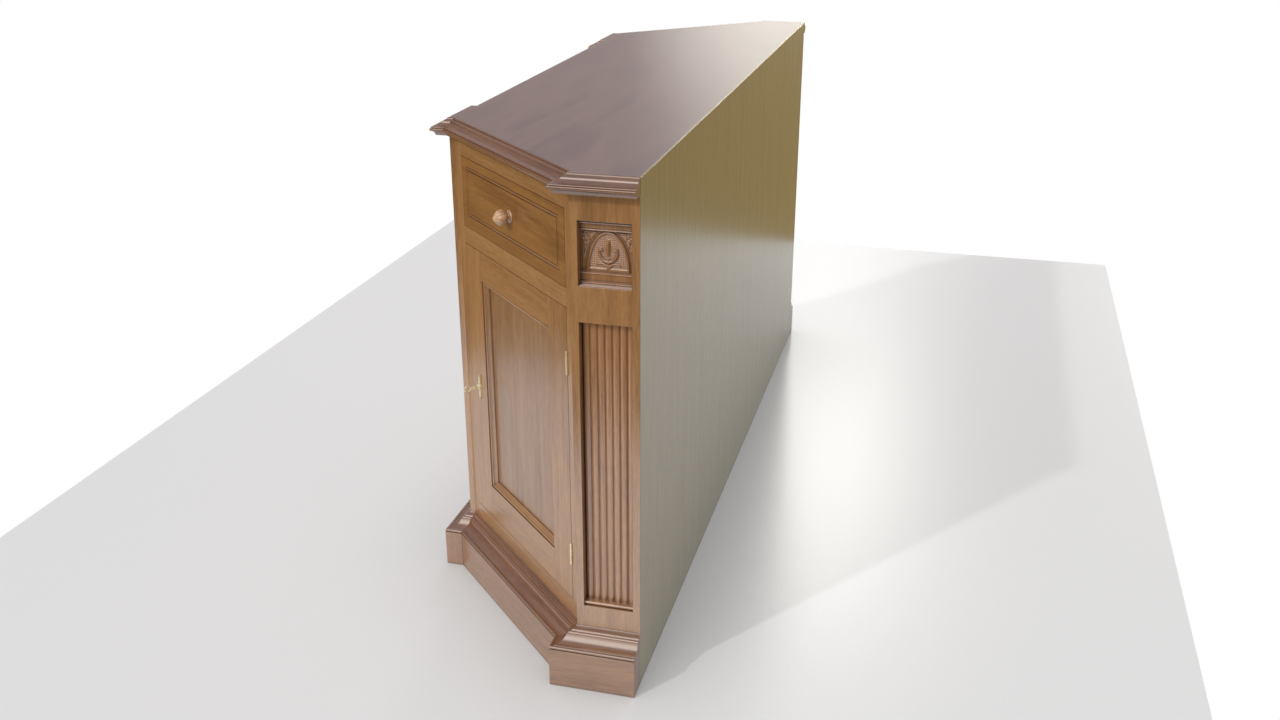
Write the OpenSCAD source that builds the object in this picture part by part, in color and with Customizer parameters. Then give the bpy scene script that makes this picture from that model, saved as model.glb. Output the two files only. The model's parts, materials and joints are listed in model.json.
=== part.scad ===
// A long hall cabinet with canted corners: four cupboards with a drawer over each, between carved
// pilasters, under a moulded worktop. X runs along the cabinet, the plain back is +Y, Z is up, and
// the origin is on the floor under the middle of the cabinet.

/* [Overall size] */
// Length over the plinth
length = 2014; // [1800:2:2400]
// Depth over the plinth
depth = 533; // [520:1:600]
// Height to the worktop
height = 1000; // [980:1:1100]

/* [Plinth] */
// Height of the plinth boards
plinth_h = 80; // [60:1:90]
// How far the plinth stands out from the carcass
plinth_out = 44.5; // [44.5:0.5:48]
// Thickness of the plinth boards
plinth_t = 50; // [50:1:52]

/* [Pilasters] */
// Width of each pilaster
pilaster_w = 124.5; // [118:0.5:130]
// How far a pilaster stands out from the face beside it
pilaster_step = 12; // [8:0.5:14]
// Thickness of a pilaster's frame
pilaster_t = 34; // [34:1:38]
// Width of the panels in a pilaster
panel_w = 96; // [90:1:100]
// Bottom of the reeded panel
reed_low = 160; // [150:1:180]
// Top of the reeded panel
reed_high = 736; // [700:1:740]
// Number of reeds
reed_count = 7; // [5:1:9]
// Depth from the pilaster's face to the crown of a reed
reed_recess = 17; // [12:1:20]
// Bottom of the carved plaque
plaque_low = 802; // [790:1:810]
// Top of the carved plaque
plaque_high = 919; // [900:1:930]
// Depth from the pilaster's face to the plaque's ground
plaque_recess = 26; // [20:1:28]

/* [Frames] */
// Thickness of the frames round the doors
frame_t = 22; // [22:1:26]
// Width of frame that shows beside a door
margin = 24.5; // [24:0.5:30]
// Bottom of the door opening
door_low = 150; // [140:1:160]
// Top of the door opening
door_high = 750; // [740:1:760]
// Bottom of the drawer opening
drawer_low = 786; // [780:1:790]
// Top of the drawer opening
drawer_high = 930; // [920:1:935]
// Thickness of the inner boards
board_t = 18; // [16:1:20]
// Thickness of the back board
back_t = 10; // [8:1:12]
// Height of the shelves' top
shelf_z = 440; // [350:5:500]

/* [Doors and drawers] */
// Gap round a door or drawer front
door_gap = 1; // [0.8:0.1:1.5]
// Width of a door's stiles
stile_w = 74; // [70:1:80]
// Height of a door's top rail
top_rail_h = 60; // [56:1:70]
// Height of a door's bottom rail
bottom_rail_h = 74; // [70:1:84]
// Depth from a door's face to its panel
panel_recess = 12; // [9:1:13]
// Depth of the drawers in the canted corners
cant_drawer_d = 165; // [120:1:170]
// Depth of the drawers in the front
front_drawer_d = 400; // [300:5:420]
// Thickness of a drawer's front
drawer_front_t = 20; // [18:1:22]
// Thickness of a drawer's sides and back
drawer_side_t = 10; // [9:1:12]
// Diameter of a knob's head
knob_d = 31; // [28:1:36]

/* [Hinges and locks] */
// Length of a hinge
hinge_l = 45; // [40:1:50]
// Bottom of the lower hinge
hinge_low = 229; // [200:1:260]
// Bottom of the upper hinge
hinge_high = 622; // [590:1:640]
// Height of the keyholes
lock_z = 446; // [430:1:470]
// Distance from a door's free edge to its keyhole
backset = 41; // [38:1:44]

/* [Hidden] */
$fn = 48;

// Width of the joint line between two boards of one node
seam = 0.2;
through = 1;
sides = [1, -1];
worktop_t = 32;
// How far the worktop laps over the back board's top edge
top_lip = 2.5;
base_mould_h = 36;
shelf_t = 16;

wood = [0.52, 0.33, 0.18];
light_wood = [0.62, 0.45, 0.28];
inner_wood = [0.66, 0.55, 0.40];
brass = [0.83, 0.72, 0.45];

// Plan of the carcass
half_l = length / 2 - plinth_out;
back_y = depth / 2;
inner_back_y = back_y - back_t;
pilaster_y = plinth_out - depth / 2;
front_y = pilaster_y + pilaster_step;
cant_a = [half_l - pilaster_step, back_y - pilaster_w];
cant_drop = cant_a.y - front_y;
cant_b = [cant_a.x - cant_drop, front_y];
cant_l = cant_drop * sqrt(2);
front_half = cant_b.x - pilaster_w;
rebate = plinth_t - plinth_out;
back_half = half_l - rebate;

// Inside of the carcass
inner_x = half_l - pilaster_t;
inner_front_y = front_y + frame_t;
cant_inner = cant_a.y - cant_a.x + frame_t * sqrt(2);
frame_top = height - worktop_t;
partition_x = front_half + board_t;
centre_half = board_t / 2;

// Openings for doors and drawers
cant_open_w = cant_l - 2 * margin;
front_open_w = front_half - 2 * margin;
floor_low = door_low - board_t;
dust_t = 12;
dust_low = door_high + 6;
dust_high = dust_low + dust_t;

// Right half of the carcass outline from the back round to the front
half_outline = [
    [half_l, back_y], [half_l, cant_a.y], cant_a, cant_b,
    [cant_b.x, pilaster_y], [front_half, pilaster_y], [front_half, front_y]
];
outline = mirrored(half_outline);
runs = len(outline) - 1;

// Points followed by their mirror images in reverse order
function mirrored(points) =
    concat(points, [for (i = [1:len(points)]) let (p = points[len(points) - i]) [-p.x, p.y]]);
function run_dir(i) = (outline[i + 1] - outline[i]) / norm(outline[i + 1] - outline[i]);
function run_out(i) = [-run_dir(i).y, run_dir(i).x];
function corner(i, u) =
    i == 0 ? outline[i] + u * run_out(0)
    : i == runs ? outline[i] + u * run_out(runs - 1)
    : outline[i] + u * (run_out(i - 1) + run_out(i)) / (1 + run_out(i - 1) * run_out(i));
function arc(c, r, from, to, steps = 7) =
    [for (i = [0:steps]) let (a = from + (to - from) * i / steps) c + r * [cos(a), sin(a)]];

// Profiles as [distance out from the carcass, height]
base_profile = concat(
    [[0, plinth_h], [0, plinth_h + base_mould_h]],
    arc([0, plinth_h + 34], 2, 90, 0, 3),
    [[2, plinth_h + 30.5], [5.5, plinth_h + 29.5]],
    arc([7.3, plinth_h + 27.6], 1.7, 110, 0, 4),
    arc([11.5, plinth_h + 23.2], 3.2, 120, 10, 5),
    arc([37.5, plinth_h + 28], 21.5, 195, 268, 8),
    arc([41, plinth_h + 3.6], 3.5, 150, -70, 8),
    [[41, plinth_h]]
);
worktop_profile = concat(
    [[0, frame_top], [0, height]],
    arc([0, height - 2.5], 2.5, 90, 0, 4),
    [[2.5, height - 3.6], [4, height - 3.6]],
    arc([4, height - 10.4], 6.8, 88, 12, 5),
    [[11.8, height - 9.4]],
    arc([22.5, height - 1.4], 13.15, 220, 276, 6),
    arc([25.6, height - 16], 1.6, 90, -30, 4),
    [[26.4, height - 17.4]],
    arc([27.4, height - 19.2], 1.8, 120, 0, 4),
    [[29.2, height - 20.8]],
    arc([31.1, height - 33.2], 11.2, 103, 174, 7)
);
// Profile of the moulding round a door's panel as [distance in from the rail, depth from the face]
panel_profile = concat(
    [[0, panel_recess], [0, 3.4], [1.2, 3.4]],
    arc([3.7, 3.6], 2.5, 180, 360, 6),
    [[6.2, 4.6], [7.2, 4.6]],
    arc([13.5, 3.4], 6.2, 165, 100, 5),
    [[13, panel_recess - 2.4], [13, panel_recess]]
);
panel_mould_w = 13;
// Bead in the groove round a drawer's front, in the same terms
bead_groove = 2.5;
bead_profile = concat(
    [[1.4, bead_groove]],
    arc([3.8, 1.7], 2.4, 180, 360, 6),
    [[6.2, bead_groove]]
);
bead_w = 7.6;
bead_in = 22;
bead_foot = 24;
bead_head = 16.5;

// Hinges
axis_s = margin + door_gap / 2;
axis_n = 1.4;
knuckle_r = 2.4;
relief_r = 2.65;
hinge_pin_r = 1.2;
leaf_t = 1.2;
leaf_w = 18;
leaf_top = -1.4;
knuckles = 5;
hinge_heights = [hinge_low, hinge_high];

// Locks
lock_half_h = 27;
lock_front = 7;
lock_l = 56;
bolt_t = 5;
bolt_h = 10;
bolt_l = 46;
bolt_low = lock_z + 10;
bolt_travel = 8;
bolt_front = 9.5;
bolt_play = 0.3;
bolt_clear = 0.5;
key_r = 2.2;
bit_r = 9.5;
bow_r = 6.6;
bow_wire_r = 1.6;
bow_n = 29.5;

// ---------------------------------------------------------------- places

module on_side(side) {
    mirror([side < 0 ? 1 : 0, 0, 0])
        children();
}

// Local X runs across the opening from the hinge side, local Y points out of the cabinet
module cant_bay(side) {
    on_side(side)
        translate([cant_a.x, cant_a.y, 0])
            rotate([0, 0, 225])
                children();
}

module front_bay(side) {
    on_side(side)
        translate([front_half, front_y, 0])
            rotate([0, 0, 180])
                children();
}

module end_pilaster_place(side) {
    on_side(side)
        translate([half_l, back_y, 0])
            rotate([0, 0, -90])
                children();
}

module front_pilaster_place(side) {
    on_side(side)
        translate([cant_b.x, pilaster_y, 0])
            rotate([0, 0, 180])
                children();
}

module pilaster_places() {
    for (side = sides) {
        end_pilaster_place(side)
            children();
        front_pilaster_place(side)
            children();
    }
}

// A box from its low and high corner
module block(low, high) {
    translate(low)
        cube(high - low);
}

module slab(points, low, high) {
    translate([0, 0, low])
        linear_extrude(high - low)
            polygon(points);
}

// A straight strip of moulding along X with mitred ends, its profile in YZ
module moulding_strip(profile, mould_w, strip_l) {
    half_gap = seam / 2;
    intersection() {
        rotate([90, 0, 90])
            linear_extrude(strip_l)
                polygon(profile);
        slab([
            [half_gap, 0], [strip_l - half_gap, 0],
            [strip_l - mould_w - half_gap, mould_w], [mould_w + half_gap, mould_w]
        ], -frame_t, frame_t);
    }
}

// Four mitred strips round the inside of a rectangle in the XY plane, Z into the wood
module moulding_rectangle(profile, mould_w, w, h) {
    moulding_strip(profile, mould_w, w);
    translate([w, 0, 0])
        rotate([0, 0, 90])
            moulding_strip(profile, mould_w, h);
    translate([w, h, 0])
        rotate([0, 0, 180])
            moulding_strip(profile, mould_w, w);
    translate([0, h, 0])
        rotate([0, 0, 270])
            moulding_strip(profile, mould_w, h);
}

// ---------------------------------------------------------------- plinth, mouldings and worktop

module run_prism(i, inner, outer, low, high) {
    start = i == 0 ? [0, 0] : run_dir(i) * seam / 2;
    stop = i == runs - 1 ? [0, 0] : -run_dir(i) * seam / 2;
    slab([
        corner(i, outer) + start, corner(i + 1, outer) + stop,
        corner(i + 1, inner) + stop, corner(i, inner) + start
    ], low, high);
}

module moulding_run(i, profile, outer, low, high) {
    run_l = norm(outline[i + 1] - outline[i]);
    reach = 2 * outer;
    intersection() {
        translate([outline[i].x, outline[i].y, 0])
            rotate([0, 0, atan2(run_dir(i).y, run_dir(i).x)])
                translate([-reach, 0, 0])
                    rotate([90, 0, 90])
                        linear_extrude(run_l + 2 * reach)
                            polygon(profile);
        run_prism(i, -through, outer + through, low - through, high + through);
    }
}

module plinth() {
    color(light_wood)
        for (i = [0:runs - 1])
            run_prism(i, -rebate, plinth_out, 0, plinth_h);
}

module base_moulding() {
    color(wood)
        for (i = [0:runs - 1])
            moulding_run(i, base_profile, plinth_out, plinth_h, plinth_h + base_mould_h);
}

module worktop_moulding() {
    color(wood)
        for (i = [0:runs - 1])
            moulding_run(i, worktop_profile, 29.2, frame_top, height);
}

module worktop() {
    color(wood)
        difference() {
            slab(mirrored(half_outline), frame_top, height);
            block([-back_half, inner_back_y, frame_top - through], [back_half, back_y + through, height - top_lip]);
        }
}

module floor_board() {
    color(inner_wood)
        slab(mirrored([
            [inner_x, inner_back_y], [inner_x, inner_x + cant_inner],
            [inner_front_y - cant_inner, inner_front_y]
        ]), floor_low, door_low);
}

module glue_blocks() {
    block_w = 40;
    block_d = 28;
    foot = 10;
    color(inner_wood) {
        for (x = [-380:190:380], centre = x - block_w / 2, far = x + block_w / 2) {
            block([centre, front_y + rebate, foot], [far, front_y + rebate + block_d, plinth_h]);
            block([centre, inner_back_y - block_d, foot], [far, inner_back_y, plinth_h]);
            block([centre, inner_front_y, plinth_h + seam], [far, inner_front_y + block_d, floor_low]);
            block([centre, inner_back_y - block_d, plinth_h + seam], [far, inner_back_y, floor_low]);
        }
        for (side = sides, s = [cant_l * 0.25, cant_l * 0.5, cant_l * 0.75])
            cant_bay(side) {
                block([s - block_w / 2, -rebate - block_d, foot], [s + block_w / 2, -rebate, plinth_h]);
                block([s - block_w / 2, -frame_t - block_d, plinth_h + seam], [s + block_w / 2, -frame_t, floor_low]);
            }
    }
}

module back_board() {
    color([0.50, 0.44, 0.30])
        block([-back_half, inner_back_y, 0], [back_half, back_y, height - top_lip]);
}

// ---------------------------------------------------------------- pilasters

// One upright board with openings for the reeded panel and the plaque
module pilaster_board() {
    edge = (pilaster_w - panel_w) / 2;
    color(wood)
        difference() {
            block([0, -pilaster_t, plinth_h], [pilaster_w, 0, frame_top]);
            block([edge, -pilaster_t - through, reed_low], [edge + panel_w, through, reed_high]);
            block([edge, -pilaster_t - through, plaque_low], [edge + panel_w, through, plaque_high]);
        }
}

module end_pilaster(side) {
    difference() {
        end_pilaster_place(side)
            pilaster_board();
        block([-back_half, inner_back_y, 0], [back_half, back_y + through, height]);
    }
}

module end_pilaster_right() {
    end_pilaster(1);
}

module end_pilaster_left() {
    end_pilaster(-1);
}

module front_pilaster_right() {
    front_pilaster_place(1)
        pilaster_board();
}

module front_pilaster_left() {
    front_pilaster_place(-1)
        pilaster_board();
}

module reeded_panel() {
    edge = (pilaster_w - panel_w) / 2;
    pitch = panel_w / reed_count;
    reed_r = pitch * 0.58;
    valley = reed_recess + 4;
    bead_r = 3.6;
    bead_n = -8.5;
    block([edge, -pilaster_t, reed_low], [edge + panel_w, -valley, reed_high]);
    intersection() {
        for (i = [0:reed_count - 1])
            translate([edge + (i + 0.5) * pitch, -reed_recess - reed_r, reed_low])
                cylinder(h = reed_high - reed_low, r = reed_r);
        block([edge, -pilaster_t, reed_low], [edge + panel_w, 0, reed_high]);
    }
    block([edge, -valley - through, reed_low], [edge + panel_w, bead_n, reed_low + 2 * bead_r]);
    translate([edge, bead_n, reed_low + bead_r])
        rotate([0, 90, 0])
            cylinder(h = panel_w, r = bead_r);
}

module reeded_panels() {
    color(wood)
        pilaster_places()
            reeded_panel();
}

module carved_plaque() {
    edge = (pilaster_w - panel_w) / 2;
    mid = pilaster_w / 2;
    ground = -plaque_recess;
    relief = 6;
    band_top = plaque_low + 24;
    arch_r = 38;
    arch_w = 5;
    arch_foot = 34;
    block([edge, -pilaster_t, plaque_low], [edge + panel_w, ground, plaque_high]);
    block([edge, ground - through, plaque_low], [edge + panel_w, -6, plaque_low + 6]);
    block([edge, ground - through, plaque_high - 16], [edge + panel_w, -14, plaque_high]);
    block([edge, ground - through, band_top], [edge + panel_w, ground + relief, band_top + 4]);
    translate([mid, ground - through, band_top + 4])
        rotate([90, 0, 0])
            translate([0, 0, -relief - through])
                linear_extrude(relief + through) {
                    difference() {
                        translate([0, arch_foot])
                            circle(arch_r);
                        translate([0, arch_foot])
                            circle(arch_r - arch_w);
                        translate([-panel_w, -panel_w])
                            square([2 * panel_w, panel_w + arch_foot]);
                    }
                    for (x = [-arch_r, arch_r - arch_w])
                        translate([x, 0])
                            square([arch_w, arch_foot]);
                    for (lean = [-38, 0, 38])
                        rotate(lean)
                            translate([-4, 0])
                                square([8, 44]);
                }
}

module carved_plaques() {
    color(wood)
        pilaster_places()
            carved_plaque();
}

// ---------------------------------------------------------------- frames round the doors

// Recesses for the fixed hinge leaves and the locks' bolts in the frame beside an opening
module frame_cuts(open_w) {
    for (z = hinge_heights) {
        block([margin - leaf_t, -leaf_w, z], [margin + through, through, z + hinge_l]);
        translate([axis_s, axis_n, z - door_gap])
            cylinder(h = hinge_l + 2 * door_gap, r = relief_r);
    }
    block(
        [margin + open_w - through, -bolt_front - bolt_t - bolt_clear, bolt_low - bolt_clear],
        [margin + open_w + bolt_travel - 0.6, -bolt_front + bolt_clear, bolt_low + bolt_h + bolt_clear]
    );
}

module frame_rails(open_w) {
    for (rail = [[plinth_h, door_low], [door_high, drawer_low], [drawer_high, frame_top]])
        block([margin + seam, -frame_t, rail[0]], [margin + open_w - seam, 0, rail[1]]);
}

module cant_frame(side) {
    color(wood)
        cant_bay(side) {
            difference() {
                union() {
                    slab([[0, 0], [margin, 0], [margin, -frame_t], [frame_t, -frame_t]], plinth_h, frame_top);
                    slab([
                        [cant_l, 0], [cant_l - frame_t, -frame_t],
                        [cant_l - margin, -frame_t], [cant_l - margin, 0]
                    ], plinth_h, frame_top);
                }
                frame_cuts(cant_open_w);
            }
            frame_rails(cant_open_w);
        }
}

module cant_frame_right() {
    cant_frame(1);
}

module cant_frame_left() {
    cant_frame(-1);
}

module front_frame() {
    color(wood) {
        difference() {
            union() {
                for (side = sides)
                    front_bay(side)
                        block([0, -frame_t, plinth_h], [margin, 0, frame_top]);
                block([-margin, front_y, plinth_h], [margin, inner_front_y, frame_top]);
            }
            for (side = sides)
                front_bay(side)
                    frame_cuts(front_open_w);
        }
        for (side = sides)
            front_bay(side)
                frame_rails(front_open_w);
    }
}

// ---------------------------------------------------------------- inside boards

module partitions() {
    color(inner_wood) {
        block([-centre_half, inner_front_y, door_low], [centre_half, inner_back_y, frame_top]);
        for (side = sides)
            on_side(side)
                block([front_half, inner_front_y, door_low], [partition_x, inner_back_y, frame_top]);
    }
}

// Plan of one canted bay inside its frame, set back from the frame by some distance
function cant_plan(back) = [
    [partition_x, inner_back_y], [inner_x, inner_back_y],
    [inner_x, inner_x + cant_inner + back * sqrt(2)],
    [inner_front_y - cant_inner - back * sqrt(2), inner_front_y], [partition_x, inner_front_y]
];

module dust_boards() {
    color(inner_wood)
        for (side = sides)
            on_side(side) {
                block([centre_half, inner_front_y, dust_low], [front_half, inner_back_y, dust_high]);
                slab(cant_plan(0), dust_low, dust_high);
            }
}

// A runner under a drawer's side and a guide beside it, between low_s and high_s
module runner(low_s, high_s, guide_low, guide_high, runner_l) {
    guide_h = 30;
    play = 0.4;
    runner_top = drawer_low + door_gap - play;
    block([low_s, -frame_t - runner_l, dust_high], [high_s, -frame_t, runner_top]);
    block([guide_low, -frame_t - runner_l, runner_top + seam], [guide_high, -frame_t, runner_top + guide_h]);
}

// The runners at both sides of an opening, which reach out to the boards beside it
module runner_pair(open_w, reach, far_reach, runner_l) {
    inside = 14;
    clear = 0.2;
    far = margin + open_w;
    runner(margin - reach, margin + inside, margin - reach, margin + clear, runner_l);
    runner(far - inside, far + far_reach, far - clear, far + far_reach, runner_l);
}

module drawer_runners() {
    color(inner_wood)
        for (side = sides) {
            cant_bay(side)
                runner_pair(cant_open_w, 12, 12, 126);
            front_bay(side)
                runner_pair(front_open_w, margin, margin - centre_half, 410);
        }
}

module shelves() {
    set_back = 18;
    color(inner_wood)
        for (side = sides)
            on_side(side) {
                block([centre_half, inner_front_y + set_back, shelf_z - shelf_t],
                    [front_half, inner_back_y, shelf_z]);
                slab(cant_plan(set_back), shelf_z - shelf_t, shelf_z);
            }
}

module shelf_bearers() {
    bearer = 18;
    low = shelf_z - shelf_t - bearer;
    high = shelf_z - shelf_t;
    front = inner_front_y + 40;
    color(inner_wood)
        for (side = sides)
            on_side(side) {
                block([centre_half, front, low], [centre_half + bearer, inner_back_y, high]);
                block([front_half - bearer, front, low], [front_half, inner_back_y, high]);
                block([partition_x, front, low], [partition_x + bearer, inner_back_y, high]);
                block([partition_x + bearer + seam, inner_back_y - bearer, low],
                    [inner_x, inner_back_y, high]);
            }
}

// ---------------------------------------------------------------- hinges

// One leaf of a hinge: side -1 is fixed to the frame, side 1 to the door
module leaf(side, bore_r) {
    knuckle_l = hinge_l / knuckles;
    wood_s = side < 0 ? margin : margin + door_gap;
    low_s = side < 0 ? wood_s - leaf_t : wood_s;
    first = side < 0 ? 0 : 1;
    color(brass)
        difference() {
            union() {
                block([low_s, -leaf_w, 0], [low_s + leaf_t, leaf_top, hinge_l]);
                for (i = [first:2:knuckles - 1], z0 = i * knuckle_l + seam / 2)
                    translate([0, 0, z0]) {
                        translate([axis_s, axis_n, 0])
                            cylinder(h = knuckle_l - seam, r = knuckle_r);
                        block([low_s, leaf_top - through, 0], [low_s + leaf_t, 0.5, knuckle_l - seam]);
                    }
            }
            translate([axis_s, axis_n, -through])
                cylinder(h = hinge_l + 2 * through, r = bore_r);
        }
}

module leaves(side, bore_r) {
    for (z = hinge_heights)
        translate([0, 0, z])
            leaf(side, bore_r);
}

module bays() {
    for (side = sides) {
        cant_bay(side)
            children();
        front_bay(side)
            children();
    }
}

module frame_hinge_leaves() {
    bays()
        leaves(-1, hinge_pin_r + 0.02);
}

module hinge_pins() {
    pin_end = 0.8;
    color(brass)
        bays()
            for (z = hinge_heights)
                translate([axis_s, axis_n, z - pin_end])
                    cylinder(h = hinge_l + 2 * pin_end, r = hinge_pin_r);
}

// ---------------------------------------------------------------- drawers

module drawer_front(open_w) {
    low = [margin + door_gap, -drawer_front_t, drawer_low + door_gap];
    high = [margin + open_w - door_gap, 0, drawer_high - door_gap];
    ring_low = [low.x + bead_in, -bead_groove, low.z + bead_foot];
    ring_high = [high.x - bead_in, through, high.z - bead_head];
    in = [bead_w, 0, bead_w];
    sink = [0, through, 0];
    color(wood) {
        difference() {
            block(low, high);
            difference() {
                block(ring_low, ring_high);
                block(ring_low + in - sink, ring_high - in + sink);
            }
            knob_place(open_w)
                translate([0, 0, -12])
                    cylinder(h = 13, r = 6);
        }
        translate([ring_low.x, 0, ring_low.z])
            rotate([90, 0, 0])
                moulding_rectangle(bead_profile, bead_w, ring_high.x - ring_low.x, ring_high.z - ring_low.z);
    }
}

module knob_place(open_w) {
    rise = 2;
    translate([margin + open_w / 2, 0, (drawer_low + drawer_high) / 2 + rise])
        rotate([-90, 0, 0])
            children();
}

module drawer_box(open_w, box_d) {
    left = margin + door_gap;
    right = margin + open_w - door_gap;
    low = drawer_low + door_gap;
    side_high = drawer_high - 22;
    bottom_low = low + 7;
    bottom_t = 6;
    near = -drawer_front_t - seam;
    color(inner_wood) {
        block([left, -box_d, low], [left + drawer_side_t, near, side_high]);
        block([right - drawer_side_t, -box_d, low], [right, near, side_high]);
        block([left + drawer_side_t + seam, -box_d, bottom_low + bottom_t + seam],
            [right - drawer_side_t - seam, -box_d + drawer_side_t, side_high - 4]);
        block([left + drawer_side_t + seam, -box_d, bottom_low],
            [right - drawer_side_t - seam, near, bottom_low + bottom_t]);
    }
}

module drawer_knob(open_w) {
    head_r = knob_d / 2;
    head_n = 18.6;
    head_half = 12.8;
    color(wood)
        knob_place(open_w)
            rotate_extrude()
                polygon(concat(
                    [[0, -11], [5.95, -11], [5.95, 0], [12.4, 0], [12.4, 1.4], [10.4, 2.8], [8.4, 3.4]],
                    [[7, 4.4], [6.4, 5.6], [6.6, 6.8]],
                    [for (a = [-60:12:60]) [head_r * cos(a), head_n + head_half * sin(a)]],
                    [[5.7, 31.6], [4.9, 32], [4.6, 32.8], [3.6, 33.6], [2, 34.1], [0, 34.1]]
                ));
}

// ---------------------------------------------------------------- doors

// The keyhole's outline, round above and a slot below, centred on the key's axis
module keyhole(low_n, high_n) {
    translate([0, high_n, 0])
        rotate([90, 0, 0])
            cylinder(h = high_n - low_n, r = key_r + 0.4);
    block([-1.4, low_n, -bit_r - 0.6], [1.4, high_n, 0]);
}

module lock_place(open_w) {
    translate([margin + open_w - door_gap - backset, 0, lock_z])
        children();
}

module door_frame(open_w) {
    left = margin + door_gap;
    right = margin + open_w - door_gap;
    low = door_low + door_gap;
    high = door_high - door_gap;
    panel_l = left + stile_w;
    panel_r = right - stile_w;
    panel_b = low + bottom_rail_h;
    panel_t = high - top_rail_h;
    color(wood) {
        difference() {
            block([left, -frame_t, low], [panel_l, 0, high]);
            for (z = hinge_heights) {
                block([left - through, -leaf_w, z], [left + leaf_t, through, z + hinge_l]);
                translate([axis_s, axis_n, z - door_gap])
                    cylinder(h = hinge_l + 2 * door_gap, r = relief_r);
            }
        }
        difference() {
            block([panel_r, -frame_t, low], [right, 0, high]);
            block([right - lock_l, -frame_t - through, lock_z - lock_half_h],
                [right + through, -lock_front, lock_z + lock_half_h]);
            lock_place(open_w)
                keyhole(-lock_front - through, through);
        }
        block([panel_l + seam, -frame_t, low], [panel_r - seam, 0, panel_b]);
        block([panel_l + seam, -frame_t, panel_t], [panel_r - seam, 0, high]);
        translate([panel_l + seam, 0, panel_b + seam])
            rotate([90, 0, 0])
                moulding_rectangle(panel_profile, panel_mould_w,
                    panel_r - panel_l - 2 * seam, panel_t - panel_b - 2 * seam);
    }
}

module door_panel(open_w) {
    left = margin + door_gap + stile_w;
    right = margin + open_w - door_gap - stile_w;
    color(light_wood)
        block([left, -frame_t + 2, door_low + door_gap + bottom_rail_h],
            [right, -panel_recess, door_high - door_gap - top_rail_h]);
}

module door_lock(open_w) {
    right = margin + open_w - door_gap;
    plate_t = 3;
    boss_t = 5.5;
    boss_r = 7;
    color(brass) {
        difference() {
            block([right - lock_l, -frame_t, lock_z - lock_half_h], [right, -lock_front, lock_z + lock_half_h]);
            block([right - lock_l + 4, -bolt_front - bolt_t - bolt_play, bolt_low - bolt_play],
                [right + through, -bolt_front + bolt_play, bolt_low + bolt_h + bolt_play]);
            lock_place(open_w) {
                keyhole(-lock_front - 2, -lock_front + through);
                translate([0, -lock_front - 1.5, 0])
                    rotate([90, 0, 0])
                        cylinder(h = 8.5, r = bit_r + 0.4);
                translate([0, -lock_front, 0])
                    rotate([90, 0, 0])
                        cylinder(h = 12.5, r = key_r + 0.1);
            }
        }
        lock_place(open_w)
            difference() {
                rotate([-90, 0, 0]) {
                    linear_extrude(plate_t)
                        escutcheon_outline();
                    cylinder(h = boss_t, r = boss_r);
                }
                keyhole(-through, boss_t + through);
            }
    }
}

// A slim upright plate, the same above and below the keyhole
module escutcheon_outline() {
    polygon([[-5.2, 0], [-4, 12], [-2.2, 24], [0, 28], [2.2, 24], [4, 12], [5.2, 0],
        [4, -12], [2.2, -24], [0, -28], [-2.2, -24], [-4, -12]]);
}

module door_key(open_w) {
    tip_n = -19;
    color(brass)
        lock_place(open_w) {
            rotate([-90, 0, 0])
                translate([0, 0, tip_n])
                    rotate_extrude()
                        polygon([
                            [0, 0], [key_r, 0], [key_r, 32], [3.4, 33], [3.6, 34.5], [3.4, 36],
                            [key_r, 37], [key_r, 39.5], [2.8, 40.2], [2.6, 41.4], [0, 41.8]
                        ]);
            translate([0, bow_n, 0])
                rotate([0, 90, 0])
                    rotate_extrude()
                        translate([bow_r, 0])
                            circle(bow_wire_r);
            block([-1, -15, -bit_r], [1, -10, -1]);
        }
}

module door_bolt(open_w) {
    right = margin + open_w - door_gap - bolt_play;
    color(brass)
        block([right - bolt_l, -bolt_front - bolt_t, bolt_low], [right, -bolt_front, bolt_low + bolt_h]);
}

// ---------------------------------------------------------------- right canted bay

module cant_right_drawer_front() {
    cant_bay(1)
        drawer_front(cant_open_w);
}

module cant_right_drawer_box() {
    cant_bay(1)
        drawer_box(cant_open_w, cant_drawer_d);
}

module cant_right_drawer_knob() {
    cant_bay(1)
        drawer_knob(cant_open_w);
}

module cant_right_door_frame() {
    cant_bay(1)
        door_frame(cant_open_w);
}

module cant_right_door_panel() {
    cant_bay(1)
        door_panel(cant_open_w);
}

module cant_right_door_hinges() {
    cant_bay(1)
        leaves(1, hinge_pin_r + 0.05);
}

module cant_right_door_lock() {
    cant_bay(1)
        door_lock(cant_open_w);
}

module cant_right_key() {
    cant_bay(1)
        door_key(cant_open_w);
}

module cant_right_bolt() {
    cant_bay(1)
        door_bolt(cant_open_w);
}

// ---------------------------------------------------------------- left canted bay

module cant_left_drawer_front() {
    cant_bay(-1)
        drawer_front(cant_open_w);
}

module cant_left_drawer_box() {
    cant_bay(-1)
        drawer_box(cant_open_w, cant_drawer_d);
}

module cant_left_drawer_knob() {
    cant_bay(-1)
        drawer_knob(cant_open_w);
}

module cant_left_door_frame() {
    cant_bay(-1)
        door_frame(cant_open_w);
}

module cant_left_door_panel() {
    cant_bay(-1)
        door_panel(cant_open_w);
}

module cant_left_door_hinges() {
    cant_bay(-1)
        leaves(1, hinge_pin_r + 0.05);
}

module cant_left_door_lock() {
    cant_bay(-1)
        door_lock(cant_open_w);
}

module cant_left_key() {
    cant_bay(-1)
        door_key(cant_open_w);
}

module cant_left_bolt() {
    cant_bay(-1)
        door_bolt(cant_open_w);
}

// ---------------------------------------------------------------- right front bay

module front_right_drawer_front() {
    front_bay(1)
        drawer_front(front_open_w);
}

module front_right_drawer_box() {
    front_bay(1)
        drawer_box(front_open_w, front_drawer_d);
}

module front_right_drawer_knob() {
    front_bay(1)
        drawer_knob(front_open_w);
}

module front_right_door_frame() {
    front_bay(1)
        door_frame(front_open_w);
}

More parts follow.
